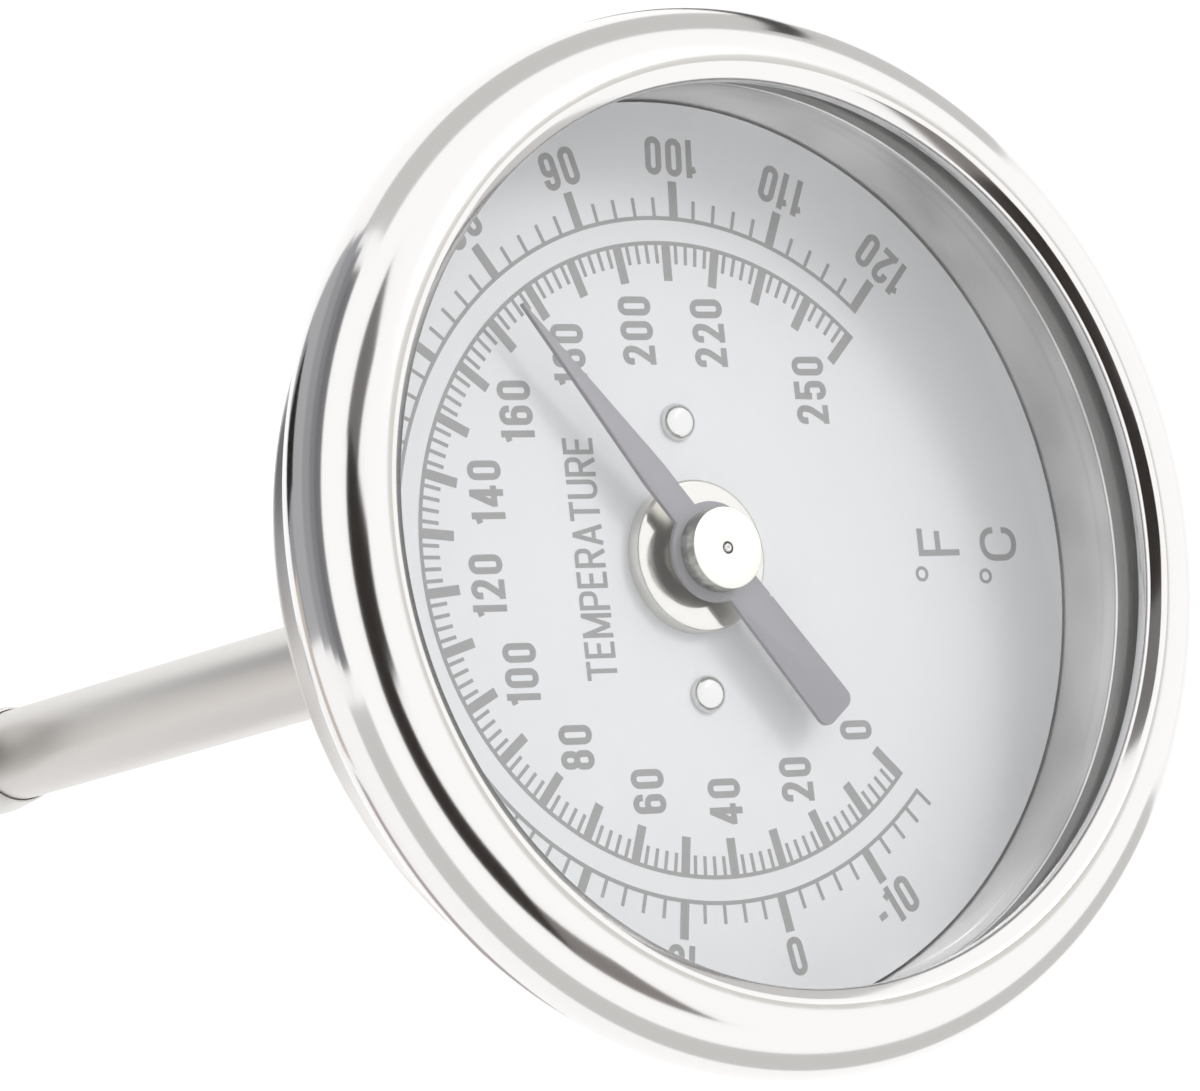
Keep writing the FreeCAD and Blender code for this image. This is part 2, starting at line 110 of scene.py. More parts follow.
class PrintSettings(PropertyGroup):
    sweep: angle_setting("Sweep", "Angle between the two ends of the outer scale", 270)
    full_reading: IntProperty(name="Full reading", description="Last reading in Fahrenheit",
                              default=250)
    fahrenheit_radius: length_setting("Fahrenheit arc", "Radius of the inner arc", 19.12)
    celsius_radius: length_setting("Celsius arc", "Radius of the outer arc", 20.65)
    arc_width: length_setting("Arc line", "Width of both arcs", 0.24)
    bold_length: length_setting("Bold tick length", "Length of a tick at a ten", 2.3)
    bold_width: length_setting("Bold tick width", "Width of a tick at a ten", 0.6)
    thin_length: length_setting("Thin tick length", "Length of a tick between tens", 1.25)
    thin_width: length_setting("Thin tick width", "Width of a tick between tens", 0.22)
    ink_height: length_setting("Ink height", "How far the ink stands on the enamel", 0.02)
    digit_height: length_setting("Digit height", "Height of a numeral", 2.35)
    digit_width: length_setting("Digit width", "Width of a numeral", 1.15)
    digit_stroke: length_setting("Digit stroke", "Stroke width of a numeral", 0.4)
    digit_gap: length_setting("Digit gap", "Space between two numerals", 0.34)
    inner_ring: length_setting("Inner numeral ring", "Circle that the inner numerals touch", 16.0)
    outer_ring: length_setting("Outer numeral ring", "Radius of the outer numerals", 24.45)
    ink: colour_setting("Ink", "Colour of the print", (0.375, 0.375, 0.375))
    enamel: colour_setting("Enamel", "Colour of the dial", (0.905, 0.917, 0.935))


class PointerSettings(PropertyGroup):
    edge: length_setting("Edge", "Width of the eased edge of the needle", 0.05)
    paint: colour_setting("Lacquer", "Colour of the needle", (0.37, 0.36, 0.39))
    dimple: length_setting("Dimple", "Depth of the centre mark in the shaft's end", 0.1)
    groove: length_setting("Groove", "Depth of the groove round the shaft's end", 0.3)
    rim: colour_setting("Hub rim", "Colour of the hub's side", (0.46, 0.46, 0.43))


class StemSettings(PropertyGroup):
    wall: length_setting("Tube wall", "Wall of the stem", 0.45)
    tip_round: length_setting("Tip corner", "Radius of the tip's corner", 1.44)


class StageSettings(PropertyGroup):
    azimuth: angle_setting("Azimuth", "Camera's bearing; 0 looks along +Y", 192.8)
    elevation: angle_setting("Elevation", "Camera's height above the horizon", 53.69)
    roll: angle_setting("Roll", "Turn of the camera about its own axis", 73.3)
    distance: length_setting("Distance", "From the middle of the dial to the camera", 409.9)
    shift_right: length_setting("Aim right", "How far the aim passes the dial's middle", -5.2)
    shift_up: length_setting("Aim up", "How far the aim passes above the dial's middle", 0.87)
    lens: FloatProperty(name="Lens", description="Focal length on a 36 mm sensor",
                        default=203.13, unit="CAMERA")
    sky: FloatProperty(name="Studio white", description="Strength of the white surround",
                       default=1.2)
    key: FloatProperty(name="Key light", description="Power of the key softbox", default=0.88,
                       unit="POWER")


class ThermometerSettings(PropertyGroup):
    bezel: PointerProperty(type=BezelSettings)
    case: PointerProperty(type=CaseSettings)
    dial: PointerProperty(type=PrintSettings)
    pointer: PointerProperty(type=PointerSettings)
    stem: PointerProperty(type=StemSettings)
    stage: PointerProperty(type=StageSettings)


# ---------------------------------------------------------------- places read from the frame

class Place:
    """Radius and the lowest and highest height of a round CAD node."""

    def __init__(self, node):
        low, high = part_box(node)
        self.low = low.z
        self.high = high.z
        self.radius = (high.x - low.x) / 2


BEZEL = Place("bezel_ring")
CASE = Place("case_cup")
GLASS = Place("lens_glass")
GASKET = Place("lens_gasket")
DIAL = Place("dial_plate")
BOSS = Place("boss_bush")
HUB = Place("pointer_hub")
NEEDLE = Place("pointer_needle")
SHAFT = Place("pointer_shaft")
STEM = Place("stem_tube")
TIP = Place("tip_plug")
SCREWS_LOW, SCREWS_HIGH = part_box("dial_screws")


# ---------------------------------------------------------------- making meshes

def wire(corners, closed):
    """Outline in the XZ plane from (radius, height, corner radius) in metres, corners rounded."""
    mesh = bmesh.new()
    verts = [mesh.verts.new((radius, 0, height)) for radius, height, _ in corners]
    for first, second in zip(verts, verts[1:]):
        mesh.edges.new((first, second))
    if closed:
        mesh.edges.new((verts[-1], verts[0]))
    for vert, (_, _, corner) in zip(verts, corners):
        if corner > 0:
            bmesh.ops.bevel(mesh, geom=[vert], offset=corner, segments=8, profile=0.5,
                            affect="VERTICES", material=-1)
    return mesh


def turn(mesh, steps):
    """Spin an outline round the stem's axis into a skin that points outwards."""
    bmesh.ops.spin(mesh, geom=mesh.verts[:] + mesh.edges[:], cent=(0, 0, 0), axis=(0, 0, 1),
                   angle=2 * math.pi, steps=steps, use_merge=True, use_duplicate=False)
    bmesh.ops.remove_doubles(mesh, verts=mesh.verts, dist=MERGE_DISTANCE)
    bmesh.ops.recalc_face_normals(mesh, faces=mesh.faces)
    return mesh


def turned(corners, steps=SMALL_TURN, closed=True):
    """Solid of revolution; an outline that isn't closed starts and ends on the axis."""
    return turn(wire(corners, closed), steps)


def eased_copy(node, width):
    """Merged copy of a CAD node with its sharp edges eased."""
    mesh = bmesh.new()
    mesh.from_mesh(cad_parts[node].data)
    bmesh.ops.remove_doubles(mesh, verts=mesh.verts, dist=MERGE_DISTANCE * 10)
    bmesh.ops.dissolve_limit(mesh, angle_limit=math.radians(0.5), verts=mesh.verts,
                             edges=mesh.edges)
    sharp = [edge for edge in mesh.edges
             if edge.is_manifold and edge.calc_face_angle() > SHARP_ANGLE]
    bmesh.ops.bevel(mesh, geom=sharp, offset=width, segments=EASE_SEGMENTS, profile=0.5,
                    affect="EDGES", material=-1, clamp_overlap=True)
    return mesh


def finished(mesh, name, material, body, stands_for=()):
    """Make a piece of a bmesh, smooth but for its sharp edges, riding on its CAD body."""
    data = bpy.data.meshes.new(name)
    mesh.to_mesh(data)
    mesh.free()
    data.materials.append(material)
    data.polygons.foreach_set("use_smooth", [True] * len(data.polygons))
    data.set_sharp_from_angle(angle=SHARP_ANGLE)
    piece = bpy.data.objects.new(name, data)
    bpy.context.scene.collection.objects.link(piece)
    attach(piece, body)
    if stands_for:
        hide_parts(*stands_for)
    return piece


def dress(node, material):
    """Give a CAD node that keeps its own mesh a better finish."""
    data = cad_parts[node].data
    data.materials.clear()
    data.materials.append(material)


# ---------------------------------------------------------------- materials

# The frame brings a plain material for each slot: polished_steel, satin_steel, gasket_rubber,
# boss_steel, hub_metal, screw_steel, spring_steel and bush_plastic are used as they come. The
# finishes made here have other names than the slots.

class Finish:
    """A material with one Principled shader and short ways to wire it."""

    def __init__(self, name, colour, metallic, roughness):
        self.material = bpy.data.materials.new(name)
        self.material.use_nodes = True
        self.nodes = self.material.node_tree.nodes
        self.links = self.material.node_tree.links
        self.shader = self.nodes["Principled BSDF"]
        self.shader.inputs["Base Color"].default_value = (*colour, 1)
        self.shader.inputs["Metallic"].default_value = metallic
        self.shader.inputs["Roughness"].default_value = roughness
        self.place = self.nodes.new("ShaderNodeTexCoord").outputs["Object"]

    def node(self, kind, values=(), **settings):
        made = self.nodes.new(kind)
        for key, value in settings.items():
            setattr(made, key, value)
        for socket, value in values:
            self.feed(made.inputs[socket], value)
        return made

    def feed(self, socket, value):
        if isinstance(value, bpy.types.NodeSocket):
            self.links.new(value, socket)
        else:
            socket.default_value = value

    def math(self, operation, first, second=0.0):
        values = [(0, first), (1, second)]
        return self.node("ShaderNodeMath", values, operation=operation).outputs[0]

    def noise(self, where, scale, detail=3.0):
        values = [("Vector", where), ("Scale", scale), ("Detail", detail)]
        return self.node("ShaderNodeTexNoise", values).outputs["Fac"]

    def stretched(self, x, y, z):
        values = [("Vector", self.place), ("Scale", (x, y, z))]
        return self.node("ShaderNodeMapping", values).outputs["Vector"]

    def rings(self, across, along):
        """Coordinates in rings round the stem's axis: radius, height and a little angle."""
        split = self.node("ShaderNodeSeparateXYZ", [("Vector", self.place)])
        x, y, z = split.outputs
        radius = self.math("SQRT", self.math("ADD", self.math("MULTIPLY", x, x),
                                             self.math("MULTIPLY", y, y)))
        values = [("X", self.math("MULTIPLY", radius, across)),
                  ("Y", self.math("MULTIPLY", z, across)),
                  ("Z", self.math("MULTIPLY", self.math("ARCTAN2", y, x), along))]
        return self.node("ShaderNodeCombineXYZ", values).outputs[0]

    def between(self, factor, low, high):
        values = [("Value", factor), ("To Min", low), ("To Max", high)]
        return self.node("ShaderNodeMapRange", values).outputs["Result"]

    def roughen(self, factor, low, high):
        self.feed(self.shader.inputs["Roughness"], self.between(factor, low, high))

    def blend(self, factor, first, second):
        made = self.node("ShaderNodeMix", data_type="RGBA")
        self.feed(made.inputs[0], factor)
        self.feed(made.inputs[6], (*first, 1))
        self.feed(made.inputs[7], (*second, 1))
        return made.outputs[2]

    def tint(self, factor, first, second):
        self.feed(self.shader.inputs["Base Color"], self.blend(factor, first, second))

    def bump(self, height, strength, distance):
        values = [("Height", height), ("Strength", strength), ("Distance", distance)]
        made = self.node("ShaderNodeBump", values)
        self.feed(self.shader.inputs["Normal"], made.outputs["Normal"])


def shade(colour, factor):
    return tuple(min(1.0, part * factor) for part in colour)


def drawn_steel(colour):
    """Drawn cup: softer than the bezel, with die lines round it."""
    finish = Finish("drawn_steel", colour, 1.0, 0.22)
    lines = finish.noise(finish.rings(6000, 3), 1.0)
    finish.roughen(lines, 0.26, 0.42)
    smudge = finish.between(finish.noise(finish.stretched(70, 70, 110), 1.0, 2.0), -0.75, 1.9)
    finish.tint(smudge, shade(colour, 0.62), shade(colour, 1.06))
    finish.bump(lines, 0.10, 0.00002)
    return finish.material


def window_glass():
    """Clear flat glass that lets lamps through to the dial."""
    finish = Finish("window_glass", (0.992, 0.994, 0.998), 0.0, 0.0)
    finish.shader.inputs["Transmission Weight"].default_value = 1.0
    finish.shader.inputs["IOR"].default_value = 1.47
    smear = finish.noise(finish.stretched(40, 90, 40), 1.0, 5.0)
    finish.roughen(smear, 0.0, 0.012)
    clear = finish.node("ShaderNodeBsdfTransparent")
    path = finish.node("ShaderNodeLightPath")
    mix = finish.node("ShaderNodeMixShader", [(0, path.outputs["Is Shadow Ray"]),
                                              (1, finish.shader.outputs[0]),
                                              (2, clear.outputs[0])])
    finish.links.new(mix.outputs[0], finish.nodes["Material Output"].inputs["Surface"])
    return finish.material


def enamel(colour):
    """Sprayed white enamel with a faint orange peel."""
    finish = Finish("dial_enamel", colour, 0.0, 0.38)
    finish.shader.inputs["Specular IOR Level"].default_value = 0.4
    finish.tint(finish.noise(finish.place, 150), shade(colour, 0.985), shade(colour, 1.01))
    finish.roughen(finish.noise(finish.place, 700), 0.32, 0.45)
    finish.bump(finish.noise(finish.place, 2500), 0.06, 0.00001)
    return finish.material


def ink(colour):
    """Screen-printed ink, slightly uneven."""
    finish = Finish("print_ink", colour, 0.0, 0.5)
    finish.tint(finish.noise(finish.place, 5000, 4.0), shade(colour, 0.93), shade(colour, 1.1))
    finish.bump(finish.noise(finish.place, 9000), 0.1, 0.000005)
    return finish.material


def lacquer(colour):
    """Satin lacquer on the needle, with a few specks of dust."""
    finish = Finish("pointer_lacquer", colour, 0.0, 0.42)
    dust = finish.node("ShaderNodeTexVoronoi", [("Vector", finish.place), ("Scale", 420.0)])
    speck = finish.math("LESS_THAN", dust.outputs["Distance"], 0.05)
    finish.tint(speck, colour, (0.85, 0.85, 0.84))
    finish.roughen(finish.noise(finish.place, 1500), 0.34, 0.5)
    finish.bump(finish.noise(finish.place, 4000), 0.08, 0.00001)
    return finish.material


def turned_rim(colour):
    """Side of the hub: patchy, darker metal."""
    finish = Finish("hub_rim", colour, 1.0, 0.3)
    patch = finish.noise(finish.stretched(1500, 1500, 900), 1.0, 5.0)
    finish.tint(finish.between(patch, -0.8, 1.8), shade(colour, 0.5), shade(colour, 1.5))
    finish.roughen(patch, 0.2, 0.45)
    finish.bump(patch, 0.2, 0.00003)
    return finish.material


def bimetal_strip():
    """Rolled strip with its grain along the stem."""
    colour = (0.62, 0.50, 0.36)
    finish = Finish("bimetal_strip", colour, 1.0, 0.3)
    grain = finish.noise(finish.stretched(5000, 5000, 250), 1.0)
    finish.roughen(grain, 0.24, 0.42)
    finish.tint(grain, shade(colour, 0.95), shade(colour, 1.03))
    finish.bump(grain, 0.08, 0.00002)
    return finish.material


# ---------------------------------------------------------------- printed strokes

# Each glyph is drawn by a pen on a square from (0, 0) to (1, 1). A point is (x, y, corner), where
# a corner of 1 is an arc as wide as half the glyph. "loop" closes, "square" ends half a pen later
# and "butt" ends at its last point.
ROUND = 0.97
GLYPHS = {
    "0": [("loop", [(0, 0, ROUND), (0, 1, ROUND), (1, 1, ROUND), (1, 0, ROUND)])],
    "1": [("square", [(1, 0, 0), (1, 1, 0)]), ("butt", [(-0.3, 0.82, 0), (1, 0.9, 0)])],
    "2": [("butt", [(0, 0.7, 0), (0, 1, ROUND), (1, 1, ROUND), (1, 0.62, 0.8), (0.02, 0, 0)]),
          ("square", [(0, 0, 0), (1, 0, 0)])],
    "3": [("butt", [(0, 0.74, 0), (0, 1, ROUND), (1, 1, ROUND), (1, 0.52, 0.8), (0.35, 0.52, 0)]),
          ("butt", [(0.35, 0.52, 0), (1, 0.52, 0.8), (1, 0, ROUND), (0, 0, ROUND), (0, 0.26, 0)])],
    "4": [("square", [(0.74, 0, 0), (0.74, 1, 0)]), ("butt", [(0.72, 1.06, 0), (-0.06, 0.24, 0)]),
          ("square", [(0, 0.24, 0), (1, 0.24, 0)])],
    "5": [("square", [(0.05, 1, 0), (0.95, 1, 0)]), ("square", [(0.05, 1, 0), (0.02, 0.56, 0)]),
          ("butt", [(0, 0.46, 0), (0.1, 0.62, 0.3), (1, 0.62, ROUND), (1, 0, ROUND),
                    (0, 0, ROUND), (0, 0.26, 0)])],
    "6": [("loop", [(0, 0, ROUND), (0, 0.58, ROUND), (1, 0.58, ROUND), (1, 0, ROUND)]),
          ("butt", [(0, 0.25, 0), (0, 1, ROUND), (1, 1, ROUND), (1, 0.74, 0)])],
    "7": [("square", [(0, 1, 0), (1, 1, 0)]), ("butt", [(1, 1, 0), (0.35, -0.1, 0)])],
    "8": [("loop", [(0.04, 0.53, 0.9), (0.04, 1, 0.9), (0.96, 1, 0.9), (0.96, 0.53, 0.9)]),
          ("loop", [(0, 0, ROUND), (0, 0.53, ROUND), (1, 0.53, ROUND), (1, 0, ROUND)])],
    "9": [("loop", [(0, 0.42, ROUND), (0, 1, ROUND), (1, 1, ROUND), (1, 0.42, ROUND)]),
          ("butt", [(1, 0.75, 0), (1, 0, ROUND), (0, 0, ROUND), (0, 0.26, 0)])],
    "-": [("square", [(0, 0.42, 0), (1, 0.42, 0)])],
    "A": [("butt", [(0, -0.07, 0), (0.5, 1.05, 0)]), ("butt", [(0.5, 1.05, 0), (1, -0.07, 0)]),
          ("butt", [(0.12, 0.26, 0), (0.88, 0.26, 0)])],
    "C": [("butt", [(0.99, 0.64, 0), (0.97, 1, 0.8), (0, 1, ROUND), (0, 0, ROUND),
                    (0.97, 0, 0.8), (0.99, 0.36, 0)])],
    "E": [("square", [(0, 0, 0), (0, 1, 0)]), ("butt", [(0, 1, 0), (1.1, 1, 0)]),
          ("butt", [(0, 0.52, 0), (0.98, 0.52, 0)]), ("butt", [(0, 0, 0), (1.1, 0, 0)])],
    "F": [("square", [(0, 0, 0), (0, 1, 0)]), ("butt", [(0, 1, 0), (1.1, 1, 0)]),
          ("butt", [(0, 0.52, 0), (0.98, 0.52, 0)])],
    "M": [("square", [(0, 0, 0), (0, 1, 0)]), ("square", [(1, 0, 0), (1, 1, 0)]),
          ("butt", [(0, 1.03, 0), (0.5, 0.02, 0)]), ("butt", [(1, 1.03, 0), (0.5, 0.02, 0)])],
    "P": [("square", [(0, 0, 0), (0, 1, 0)]),
          ("butt", [(0, 1, 0), (1, 1, 0.8), (1, 0.45, 0.8), (0, 0.45, 0)])],
    "R": [("square", [(0, 0, 0), (0, 1, 0)]),
          ("butt", [(0, 1, 0), (1, 1, 0.8), (1, 0.48, 0.8), (0, 0.48, 0)]),
          ("butt", [(0.5, 0.48, 0), (1.02, -0.07, 0)])],
    "T": [("square", [(0, 1, 0), (1, 1, 0)]), ("square", [(0.5, 0, 0), (0.5, 1, 0)])],
    "U": [("square", [(0, 1, 0), (0, 0, ROUND), (1, 0, ROUND), (1, 1, 0)])],
    "o": [("loop", [(0, 0, ROUND), (0, 1, ROUND), (1, 1, ROUND), (1, 0, ROUND)])],
}
WIDTHS = {"1": 0.64, "-": 0.5, "4": 1.08, "M": 1.28, "A": 1.12, "E": 0.9, "P": 0.98}
ARC_HANDLE = 0.5523
OVERLAY_STEP = 0.08


class Pen:
    """A flat pen of one width that turns glyph strokes into thin closed bands of ink."""

    def __init__(self, width, thickness):
        self.width = width
        self.step = thickness * OVERLAY_STEP
        profile = bpy.data.curves.new("pen_profile", "CURVE")
        spline = profile.splines.new("POLY")
        spline.points.add(3)
        sides = ((-1, -1), (1, -1), (1, 1), (-1, 1))
        for point, (across, up) in zip(spline.points, sides):
            point.co = (across * width / 2, up * thickness / 2, 0, 1)
        spline.use_cyclic_u = True
        self.profile = bpy.data.objects.new("pen_profile", profile)
        bpy.context.scene.collection.objects.link(self.profile)

    def stroke(self, curve, kind, corners, box, layer):
        """One spline: straight runs, with an arc at each corner that has a radius."""
        half = (box[0] - self.width) / 2
        tall = (box[1] - self.width) / 2
        lift = layer * self.step
        points = [Vector(((2 * x - 1) * half, (2 * y - 1) * tall, lift)) for x, y, _ in corners]
        if kind == "square":
            points[0] += (points[0] - points[1]).normalized() * self.width / 2
            points[-1] += (points[-1] - points[-2]).normalized() * self.width / 2
        knots = []
        for index, (point, (_, _, corner)) in enumerate(zip(points, corners)):
            if corner == 0:
                knots.append((point, point, point))
                continue
            before = (points[index - 1] - point).normalized()
            after = (points[(index + 1) % len(points)] - point).normalized()
            reach = corner * half
            start, end = point + before * reach, point + after * reach
            knots.append((start, start, start.lerp(point, ARC_HANDLE)))
            knots.append((end, end.lerp(point, ARC_HANDLE), end))
        spline = curve.splines.new("BEZIER")
        spline.bezier_points.add(len(knots) - 1)
        for knot, (place, left, right) in zip(spline.bezier_points, knots):
            knot.handle_left_type = "FREE"
            knot.handle_right_type = "FREE"
            knot.co = place
            knot.handle_left = left
            knot.handle_right = right
        spline.resolution_u = 6
        spline.use_cyclic_u = kind == "loop"

    def glyph(self, character, box):
        """Mesh of one glyph in a box, its middle at the origin."""
        curve = bpy.data.curves.new("glyph", "CURVE")
        curve.dimensions = "3D"
        curve.twist_mode = "Z_UP"
        curve.bevel_mode = "OBJECT"
        curve.bevel_object = self.profile
        curve.use_fill_caps = True
        for layer, (kind, corners) in enumerate(GLYPHS[character]):
            self.stroke(curve, kind, corners, box, layer)
        drawn = bpy.data.objects.new("glyph", curve)
        bpy.context.scene.collection.objects.link(drawn)
        graph = bpy.context.evaluated_depsgraph_get()
        data = bpy.data.meshes.new_from_object(drawn.evaluated_get(graph))
        bpy.data.objects.remove(drawn)
        return data

    def away(self):
        bpy.data.objects.remove(self.profile)


def text_width(text, width, gap):
    return sum(WIDTHS.get(character, 1.0) * width for character in text) + gap * (len(text) - 1)


def write(mesh, pen, text, size, gap, place):
    """Add a line of text to a mesh; size is (width, height) of a plain glyph."""
    cursor = -text_width(text, size[0], gap) / 2
    for character in text:
        width = WIDTHS.get(character, 1.0) * size[0]
        data = pen.glyph(character, (width, size[1]))
        known = len(mesh.verts)
        mesh.from_mesh(data)
        mesh.verts.ensure_lookup_table()
        matrix = place @ Matrix.Translation((cursor + width / 2, 0, 0))
        bmesh.ops.transform(mesh, matrix=matrix, verts=mesh.verts[known:])
        cursor += width + gap


def printed(mesh, name):
    """Finish a print piece: closed bands of ink on the enamel."""
    bmesh.ops.remove_doubles(mesh, verts=mesh.verts, dist=MERGE_DISTANCE)
    bmesh.ops.recalc_face_normals(mesh, faces=mesh.faces)
    return finished(mesh, name, bpy.data.materials["print_ink"], "root")


def ink_middle(settings):
    return DIAL.high + settings.ink_height / 2


def reading_angle(settings, fahrenheit):
    """Clockwise angle from 12 o'clock of a reading."""
    return (fahrenheit / settings.full_reading - 0.5) * settings.sweep


def to_fahrenheit(celsius):
    return celsius * 9 / 5 + 32


def tick(mesh, settings, angle, inner, outer, width):
    """One tick, a thin box from an inner to an outer radius."""
    place = Matrix.Rotation(-angle, 4, "Z")
    place = place @ Matrix.Translation((0, (inner + outer) / 2, ink_middle(settings)))
    size = Matrix.Diagonal((width, outer - inner, settings.ink_height * (1 + OVERLAY_STEP), 1))
    bmesh.ops.create_cube(mesh, size=1, matrix=place @ size)


def arc_line(mesh, settings, radius, start, end):
    """Thin arc of rectangular section between two clockwise angles."""
    half_width = settings.arc_width / 2
    half_height = settings.ink_height / 2
    middle = ink_middle(settings)
    spin_start = Matrix.Rotation(math.pi / 2 - start, 4, "Z")
    sides = ((-1, -1), (1, -1), (1, 1), (-1, 1))
    corners = [spin_start @ Vector((radius + across * half_width, 0, middle + up * half_height))
               for across, up in sides]
    face = mesh.faces.new([mesh.verts.new(corner) for corner in corners])
    geometry = [face, *face.verts, *face.edges]
    bmesh.ops.spin(mesh, geom=geometry, cent=(0, 0, 0), axis=(0, 0, 1), angle=start - end,
                   steps=240, use_merge=False, use_duplicate=False)


def scale(settings, name, radius, outward, readings, degree):
    """An arc with its ticks. A tick at a ten is bold; outward is +1 or -1."""
    mesh = bmesh.new()
    margin = settings.bold_width / 2 / radius
    first = reading_angle(settings, degree(readings[0]))
    last = reading_angle(settings, degree(readings[-1]))
    first_margin = margin if readings[0] % 10 == 0 else settings.thin_width / 2 / radius
    arc_line(mesh, settings, radius, first - first_margin, last + margin)
    root = radius - outward * settings.arc_width / 2
    for reading in readings:
        bold = reading % 10 == 0
        length = settings.bold_length if bold else settings.thin_length
        width = settings.bold_width if bold else settings.thin_width
        inner, outer = sorted((root, radius + outward * length))
        tick(mesh, settings, reading_angle(settings, degree(reading)), inner, outer, width)
    return printed(mesh, name)


# ---------------------------------------------------------------- operators, one for each piece

class THERMO_OT_finishes(Operator):
    """Make the cup's steel, glass, enamel, ink, lacquer, hub's side and bimetal"""
    bl_idname = "thermo.finishes"
    bl_label = "Finishes"

    def execute(self, context):
        settings = context.scene.thermometer
        drawn_steel(settings.case.colour[:])
        window_glass()
        enamel(settings.dial.enamel[:])
        ink(settings.dial.ink[:])
        lacquer(settings.pointer.paint[:])
        turned_rim(settings.pointer.rim[:])
        bimetal_strip()
        return {"FINISHED"}


class THERMO_OT_bezel(Operator):
    """Roll the bezel: a bead on the glass and a big roll hooked under the case"""
    bl_idname = "thermo.bezel"
    bl_label = "Bezel"

    def execute(self, context):
        sizes = context.scene.thermometer.bezel
        ring = BEZEL.radius - sizes.roll_radius
        lip = ring - sizes.bead_radius
        foot = BEZEL.high - 2 * sizes.bead_radius
        crest_run = sizes.crest_radius * math.tan(sizes.slope / 2)
        lip_run = sizes.lip_radius * math.tan(math.pi / 4 - sizes.slope / 2)
        knee = BEZEL.high - (ring - crest_run - lip) * math.tan(sizes.slope)
        mesh = wire([(ring + MERGE_DISTANCE * 10, foot, 0), (lip, foot, sizes.bead_radius),
                     (lip, knee, lip_run), (ring - crest_run, BEZEL.high, crest_run * 0.999),
                     (ring, BEZEL.high, 0)], closed=False)
        last = max(mesh.verts, key=lambda vert: vert.co.z + vert.co.x)
        bmesh.ops.spin(mesh, geom=[last], cent=(ring, 0, BEZEL.high - sizes.roll_radius),
                       axis=(0, 1, 0), angle=math.pi / 2 + sizes.hook, steps=ROLL_STEPS,
                       use_merge=False, use_duplicate=False)
        turn(mesh, FINE_TURN)
        top = max(mesh.faces, key=lambda face: face.calc_center_median().z)
        if top.normal.z < 0:
            bmesh.ops.reverse_faces(mesh, faces=mesh.faces)
        piece = finished(mesh, "bezel", bpy.data.materials["polished_steel"], "root",
                         ["bezel_ring"])
        wall = piece.modifiers.new("wall", "SOLIDIFY")
        wall.thickness = sizes.wall
        wall.offset = -1
        return {"FINISHED"}


class THERMO_OT_case(Operator):
    """Draw the case cup with its rounded back corner and its out-turned flange"""
    bl_idname = "thermo.case"
    bl_label = "Case"

    def execute(self, context):
        sizes = context.scene.thermometer.case
        inner = DIAL.radius + sizes.dial_clear
        outer = inner + sizes.wall
        hole = STEM.radius + PRESS_FIT
        flange = CASE.high - sizes.wall
        floor = CASE.low + sizes.wall
        corners = [(hole, CASE.low, 0), (outer, CASE.low, sizes.back_round),
                   (outer, flange, 0.3 * MM), (CASE.radius, flange, 0.1 * MM),
                   (CASE.radius, CASE.high, 0.1 * MM), (inner, CASE.high, 0.3 * MM),
                   (inner, floor, sizes.back_round - sizes.wall), (hole, floor, 0)]
        finished(turned(corners, FINE_TURN), "case", bpy.data.materials["drawn_steel"], "root",
                 ["case_cup"])
        return {"FINISHED"}


class THERMO_OT_window(Operator):
    """Cut the window glass with eased edges and lay its gasket"""
    bl_idname = "thermo.window"
    bl_label = "Window"

    def execute(self, context):
        ease = 0.15 * MM
        corners = [(0, GLASS.low, 0), (GLASS.radius, GLASS.low, ease),
                   (GLASS.radius, GLASS.high, ease), (0, GLASS.high, 0)]
        finished(turned(corners, FINE_TURN, closed=False), "window",
                 bpy.data.materials["window_glass"], "root", ["lens_glass"])
        sizes = context.scene.thermometer.case
        inner = DIAL.radius + sizes.dial_clear + 0.1 * MM
        low = GASKET.low + GASKET_GAP
        high = GASKET.high - GASKET_GAP
        corners = [(inner, low, ease), (GASKET.radius, low, ease), (GASKET.radius, high, ease),
                   (inner, high, ease)]
        finished(turned(corners, FINE_TURN), "gasket", bpy.data.materials["gasket_rubber"],
                 "root", ["lens_gasket"])
        return {"FINISHED"}


class THERMO_OT_scales(Operator):
    """Print the two arcs with their ticks on the enamelled dial"""
    bl_idname = "thermo.scales"
    bl_label = "Scales"

    def execute(self, context):
        settings = context.scene.thermometer.dial
        dress("dial_plate", bpy.data.materials["dial_enamel"])
        scale(settings, "scale_fahrenheit", settings.fahrenheit_radius, -1,
              range(0, settings.full_reading + 1, 2), float)
        scale(settings, "scale_celsius", settings.celsius_radius, 1, range(-18, 121, 2),
              to_fahrenheit)
        return {"FINISHED"}


